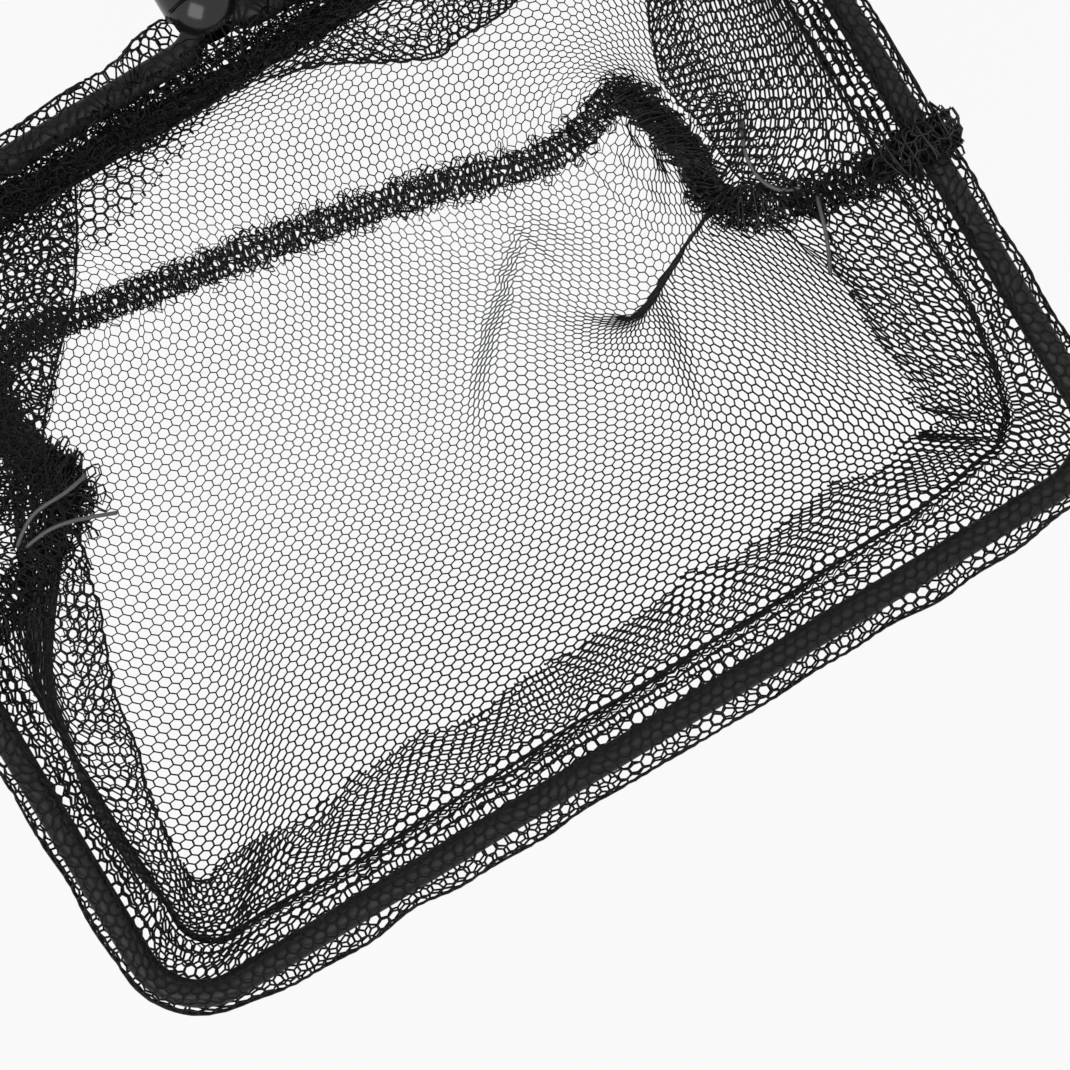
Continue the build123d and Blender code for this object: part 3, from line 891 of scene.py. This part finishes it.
# Where the sleeve parts at the connector, and how it lies on the connector's nose
nose = {
    "radius": 4.5,
    "clear": 0.35,
    "hole": 4.4,  # half the hole's width along the wire
    "from": 7.6,  # the hole's edges, from the outer stitch
    "to": 12.4,
}


def overNose(points):
    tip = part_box("connector")[0].y * 1000 - hoopY
    x, y, z = points.T
    far = np.clip(y - tip, 0, nose["radius"])
    reach = np.sqrt(nose["radius"] ** 2 - (nose["radius"] - far) ** 2) + nose["clear"]
    now = np.maximum(np.hypot(x, z), 0.05)  # never quite on the axis
    push = np.where((y > tip - nose["clear"]) & (now < reach), reach / now, 1)
    return np.stack([x * push, y, z * push], axis=1)


def panelPieces(name, panel):
    bodyGrid(name, panel)
    hemGrid(panel)
    half, depth = panel["span"] / 2, panel["depth"]
    i, j, p, q = hexNet(-half, half, -panel["hemMost"], depth)
    v = q / depth
    inBody = (q >= 0) & (v <= 1) & (np.abs(p) <= clothWidth(panel, v) / 2)
    bp, bq, faces = knots(i[inBody], j[inBody], panel["seed"] + 20)
    bv = bq / depth
    bu, bv = settle(panel["grid"], 0.5 + bp / clothWidth(panel, bv), bv, faces)
    points = onGrid(panel["grid"], bu, bv)
    thin = 1 - net["thinning"] * bv
    body = addPiece(name + "_net", points, faces, madeFinishes["net"], net["strand"], thin)
    ragged = np.random.default_rng(panel["seed"] + 21).uniform(-net["ragged"], net["ragged"], len(p))
    place = p + (panel["from"] + panel["to"]) / 2
    edge = np.interp(place, panel["hemAt"], panel["hemEdge"]) + ragged
    inHem = (q < 0) & (-q <= edge) & (np.abs(p) <= half)
    if name == "back":
        inHem &= ~((np.abs(place - backMiddle) < nose["hole"]) & (-q > nose["from"]) & (-q < nose["to"]))
        inHem &= ~((place > loose["along"][0]) & (place < loose["along"][1]) & (-q > panel["loop"] + 1))
    hp, hq, faces = knots(i[inHem], j[inHem], panel["seed"] + 20)
    points = onGrid(panel["hem"], 0.5 + hp / panel["span"], hemRow(panel, -hq))
    allowed = -hq > panel["loop"] + 1.5
    folds = []
    if name == "back":
        points = overNose(points)
        folds = [foldLine()]
        loosePoints, looseFaces, raw = looseNet()
        points, faces = joined([(points, faces), (loosePoints, looseFaces), pleatNet()])
        allowed = np.concatenate([allowed, raw, np.zeros(len(points) - len(allowed) - len(raw), bool)])
    hem = addPiece(name + "_hem_net", points, faces, madeFinishes["net"], net["strand"])
    cut = cutStrands(name + "_hem_ends", points, faces, allowed, panel["seed"] + 22, folds)
    print(name, "net: %d holes in the body, %d in the hem" % (inBody.sum(), inHem.sum()))
    return body, hem, cut


frontNet, frontHem, frontCut = panelPieces("front", panels["front"])
backNet, backHem, backCut = panelPieces("back", panels["back"])

for piece in (frontNet, frontHem, frontCut, backNet, backHem, backCut):
    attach(piece, "head")
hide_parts("front_panel")
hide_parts("back_panel")
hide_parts("front_hem")
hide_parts("back_hem_left", "back_hem_right")

# Seam: the panels' gathered edges, held in a band of overlock thread
band = {
    "width": 4.9,
    "thick": 1.6,
    "turn": 1.35,  # mm of seam for each loop of thread
    "perTurn": 14,
    "thread": 0.27,
    "lean": 0.5,  # how uneven the loops' places and sizes are
    "size": 0.16,
    "square": 0.7,  # 1 is a round loop
    "sway": 0.35,
    "wrap": [(59.8, -3.8), (63.0, -3.5), (65.2, -1.8), (65.7, 0.6), (64.2, 2.7), (61.4, 2.5),
        (58.6, -0.8)],  # x and z of its turn round the wire
    "wrapEnd": (21, 15),  # mm from each end where it comes off the wire
    "facing": (0.1, -0.25, 1.0),
    "points": 1600,
    "layers": (-0.6, -0.2, 0.2, 0.6),
    "gather": 1.35,
    "strand": 0.36,
    "inside": 0.1,  # how far its net stays inside the thread
    "crumple": {  # size, and length from crest to crest
        "edge": (0.2, 5),
        "out": (0.4, 4.2),
        "spread": (0.12, 8),
        "across": (0.35, 5),
        "along": (0.45, 3.6),
        "thick": (0.12, 9),
    },
}


def bandLine():
    start = [(x, seam["rightStart"], z) for x, z in band["wrap"]]
    end = [(-x, seam["leftStart"], z) for x, z in reversed(band["wrap"])]
    return evenly(throughPoints(np.concatenate([start, seamAll[6:-6:20], end]), 8), band["points"])


def bandFrame(line):
    # along the band, across its width, and out of its face
    along = unit(np.gradient(line, axis=0))
    run = lengths(line)
    wrapped = smooth(*band["wrapEnd"], np.minimum(run, run[-1] - run))[:, None]
    fromWire = unit((line - np.array([halfX, 0, 0]) * np.sign(line[:, :1])) * (1, 0, 1))
    facing = unit(fromWire * wrapped + unit(np.array(band["facing"])) * (1 - wrapped))
    face = unit(facing - along * np.sum(along * facing, axis=1, keepdims=True))
    return along, np.cross(along, face), face


def onBand(line, place, forward, sideways, out):
    # points near the band's line, moved along it, across it and out of its face
    run = lengths(line)
    middle, along, across, face = (sampled(x, run, place) for x in (line, *bandFrame(line)))
    points = middle + across * sideways[:, None]
    points = points + face * out[:, None]
    return points + along * forward[:, None]


def crumple(kind, x, seed):
    size, wave = band["crumple"][kind]
    return size * ripple(x, wave, seed)


def overlock(line):
    long = lengths(line)[-1]
    loops = int(long / band["turn"])
    phase = np.linspace(0, loops, loops * band["perTurn"])
    place = phase / loops * long
    pick = np.random.default_rng(61)
    lean = pick.normal(0, band["lean"], loops + 2)
    size = pick.normal(1, band["size"], loops + 2)
    place = place + np.interp(phase, np.arange(loops + 2), lean)
    size = np.interp(phase, np.arange(loops + 2), size) * (1 + crumple("thick", place, 62))
    angle = 2 * np.pi * phase
    flatC, flatD = (np.sign(c) * np.abs(c) ** band["square"] for c in (np.cos(angle), np.sin(angle)))
    sideways, out = flatC * size * band["width"] / 2, flatD * size * band["thick"] / 2
    points = onBand(line, place, band["sway"] * np.sin(2 * angle), sideways, out)
    points, faces = tube(points, band["thread"] / 2)
    return addPiece("bag_seam_thread", points, faces, madeFinishes["seam"])


def bandNet(line):
    made = []
    half = band["width"] / 2 - band["inside"]
    long = lengths(line)[-1] * band["gather"]
    for k, level in enumerate(band["layers"]):
        i, j, p, q = hexNet(0, long, -half, half)
        keep = (p > 0) & (p < long) & (np.abs(q) <= half * (1 + crumple("edge", p, 70 + k)))
        fp, fq, f = knots(i[keep], j[keep], 80 + k)
        out = level + crumple("out", fp + 0.8 * fq, 90 + k)
        spread = fq * (1 + crumple("spread", fp, 95 + k)) + crumple("across", fp - 1.5 * fq, 100 + k)
        forward = crumple("along", fp + 2 * fq, 110 + k)
        made.append((onBand(line, fp / band["gather"], forward, spread, out), f))
    return addPiece("bag_seam_net", *joined(made), madeFinishes["seam"], band["strand"])


# Running stitch that closes the sleeve, and loose thread ends
sewing = {
    "stitch": 2.3,  # mm from hole to hole
    "thread": 0.42,
    "away": 4,  # how far from the back edge's middle it starts and stops
    "inside": (0.3, 0.25, 30),  # mm inside the stitch line, its unevenness and the length of that
    "above": (0.75, 0.3),  # mm above that line, and how far each stitch rises
    "end": 0.5,  # thickness of the loose ends
    "ends": [
        [(50.5, -3.6, -8), (49.6, -6.0, -7.2), (48.9, -8.6, -8.2), (47.6, -12.2, -10.5)],
        [(47.6, 8.6, -9), (46.0, 5.2, -8.6), (45.9, 2.2, -9.2), (47.1, -0.4, -9.4), (49.4, -1.8, -8.6)],
        [(-51.5, 9.4, -6), (-47.4, 11.6, -5.2), (-44.0, 11.8, -5.4), (-40.6, 12.6, -7.4)],
        [(-50.6, 8.8, -6), (-46.6, 9.0, -5.2), (-42.6, 8.0, -6.0), (-39.8, 7.0, -8.0)],
    ],
}


def hemStitch():
    count = int(around / sewing["stitch"])
    s = np.linspace(sewing["away"], around - sewing["away"], count * 8) + backMiddle
    more, size, wave = sewing["inside"]
    inset = station(stitch["inset"], s) + more + size * ripple(s, wave, 31)
    above, rise = sewing["above"]
    z = -stitch["drop"] + above + rise * np.sin(2 * np.pi * s / sewing["stitch"])
    points, faces = tube(besideWire(s, inset, z), sewing["thread"] / 2)
    return addPiece("hem_stitch", points, faces, madeFinishes["stitch"])


def threadEnds():
    lines = [throughPoints(route, 10) for route in sewing["ends"]]
    return tubes("thread_ends", lines, sewing["end"] / 2, madeFinishes["thread"], 6)


stitches, ends = hemStitch(), threadEnds()
seamLine = bandLine()
seamNet = bandNet(seamLine)
seamThread = overlock(seamLine)
for piece in (stitches, ends, seamNet, seamThread):
    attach(piece, "head")
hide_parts("bag_seam")


def declareSheets():
    # each cut's flat size, the rectangle that it was cut from, and the seam net's gathered length, in metres;
    # these are worked out here but not declared or kept
    sheets = {
        frontNet: ("front", "depth", ["bag_seam_net", "front_hem_net"], []),
        backNet: ("back", "depth", ["bag_seam_net", "back_hem_net"], []),
        frontHem: ("front", "hemMost", ["hoop_coating"], [frontCut, stitches, ends]),
        backHem: ("back", "hemMost", ["hoop_coating"], [backCut]),
    }
    for piece, (name, long, carried, more) in sheets.items():
        panel = panels[name]
        flat = panel["span"] / 1000, panel[long] / 1000
    long = lengths(seamLine)[-1] * band["gather"] / 1000


declareSheets()
print("seam band: %.0f mm" % lengths(seamLine)[-1])

# Studio
studio = {
    "floor": -0.135,
    "floorSize": 8.0,
    "floorTone": 0.85,
    "seenTone": 0.97,  # what the camera sees of the floor and the backdrop
    "seenShare": 0.92,  # the rest of the floor takes the shadow
    "key": {"place": (-0.45, -0.55, 0.75), "size": 0.7, "power": 5.0},
    "fill": {"place": (0.6, 0.1, 0.6), "size": 0.9, "power": 2.2},
    "world": 0.4,
}


def seenRays(finish):
    # 1 for rays from the camera, and for what metal shows of the studio
    seen = finish.node("ShaderNodeLightPath", output="Is Camera Ray")
    for ray in ("Is Glossy Ray", "Is Transmission Ray"):
        more = finish.node("ShaderNodeLightPath", output=ray)
        seen = finish.node("ShaderNodeMath", {"operation": "MAXIMUM"}, {0: seen, 1: more})
    return seen


def floorPlane():
    size, z = studio["floorSize"] / 2, studio["floor"]
    mesh = bpy.data.meshes.new("floor")
    corners = [(-size, -size, z), (size, -size, z), (size, size, z), (-size, size, z)]
    mesh.from_pydata(corners, [], [(0, 1, 2, 3)])
    floor = bpy.data.objects.new("floor", mesh)
    bpy.context.scene.collection.objects.link(floor)
    finish = Finish(bpy.data.materials.new("floor_finish"))
    shader = finish.tree.nodes["Principled BSDF"]
    finish.principled(Base_Color=grey(studio["floorTone"]), Roughness=0.8)
    glow = finish.node("ShaderNodeEmission", None, {"Color": grey(studio["seenTone"]), "Strength": 1.0})
    share = seenRays(finish) * studio["seenShare"]
    inputs = {0: share, 1: Signal(finish, shader.outputs[0]), 2: glow}
    mixed = finish.node("ShaderNodeMixShader", None, inputs)
    finish.feed(finish.tree.nodes["Material Output"].inputs["Surface"], mixed)
    mesh.materials.append(finish.owner)


def worldLight():
    finish = Finish(bpy.data.worlds.new("studio"))
    lit = finish.node("ShaderNodeBackground", None, {"Color": grey(1.0), "Strength": studio["world"]})
    seen = finish.node("ShaderNodeBackground", None, {"Color": grey(studio["seenTone"]), "Strength": 1.0})
    mixed = finish.node("ShaderNodeMixShader", None, {0: seenRays(finish), 1: lit, 2: seen})
    finish.feed(finish.tree.nodes["World Output"].inputs["Surface"], mixed)
    bpy.context.scene.world = finish.owner


def softbox(name):
    box = studio[name]
    lamp = bpy.data.lights.new(name + "_light", "AREA")
    lamp.size = box["size"]
    lamp.energy = box["power"]
    obj = bpy.data.objects.new(name + "_light", lamp)
    obj.location = box["place"]
    obj.rotation_mode = "QUATERNION"
    aim = Vector((0, hoopY / 1000, 0)) - Vector(box["place"])
    obj.rotation_quaternion = aim.to_track_quat("-Z", "Y")
    bpy.context.scene.collection.objects.link(obj)


floorPlane()
worldLight()
softbox("key")
softbox("fill")

# Camera: over the hoop's mouth, turned so that the handle leaves at the upper left
shot = {
    "right": (0.8563, -0.5165, 0.0),
    "up": (0.5165, 0.8563, 0.0),
    "height": 0.230,
    "over": (0.0012, -0.0208),
    "lens": 67.7,
}
camera = bpy.data.cameras.new("camera")
camera.lens = shot["lens"]
camera.sensor_width = 36
camera.clip_start = 0.01
eye = bpy.data.objects.new("camera", camera)
right, up = Vector(shot["right"]).normalized(), Vector(shot["up"]).normalized()
turn = Matrix((right, up, right.cross(up))).transposed()
place = shot["over"][0], hoopY / 1000 + shot["over"][1], shot["height"]
eye.matrix_world = Matrix.Translation(place) @ turn.to_4x4()
bpy.context.scene.collection.objects.link(eye)
bpy.context.scene.camera = eye
bpy.context.scene.view_settings.view_transform = "Standard"
print("camera and light set")
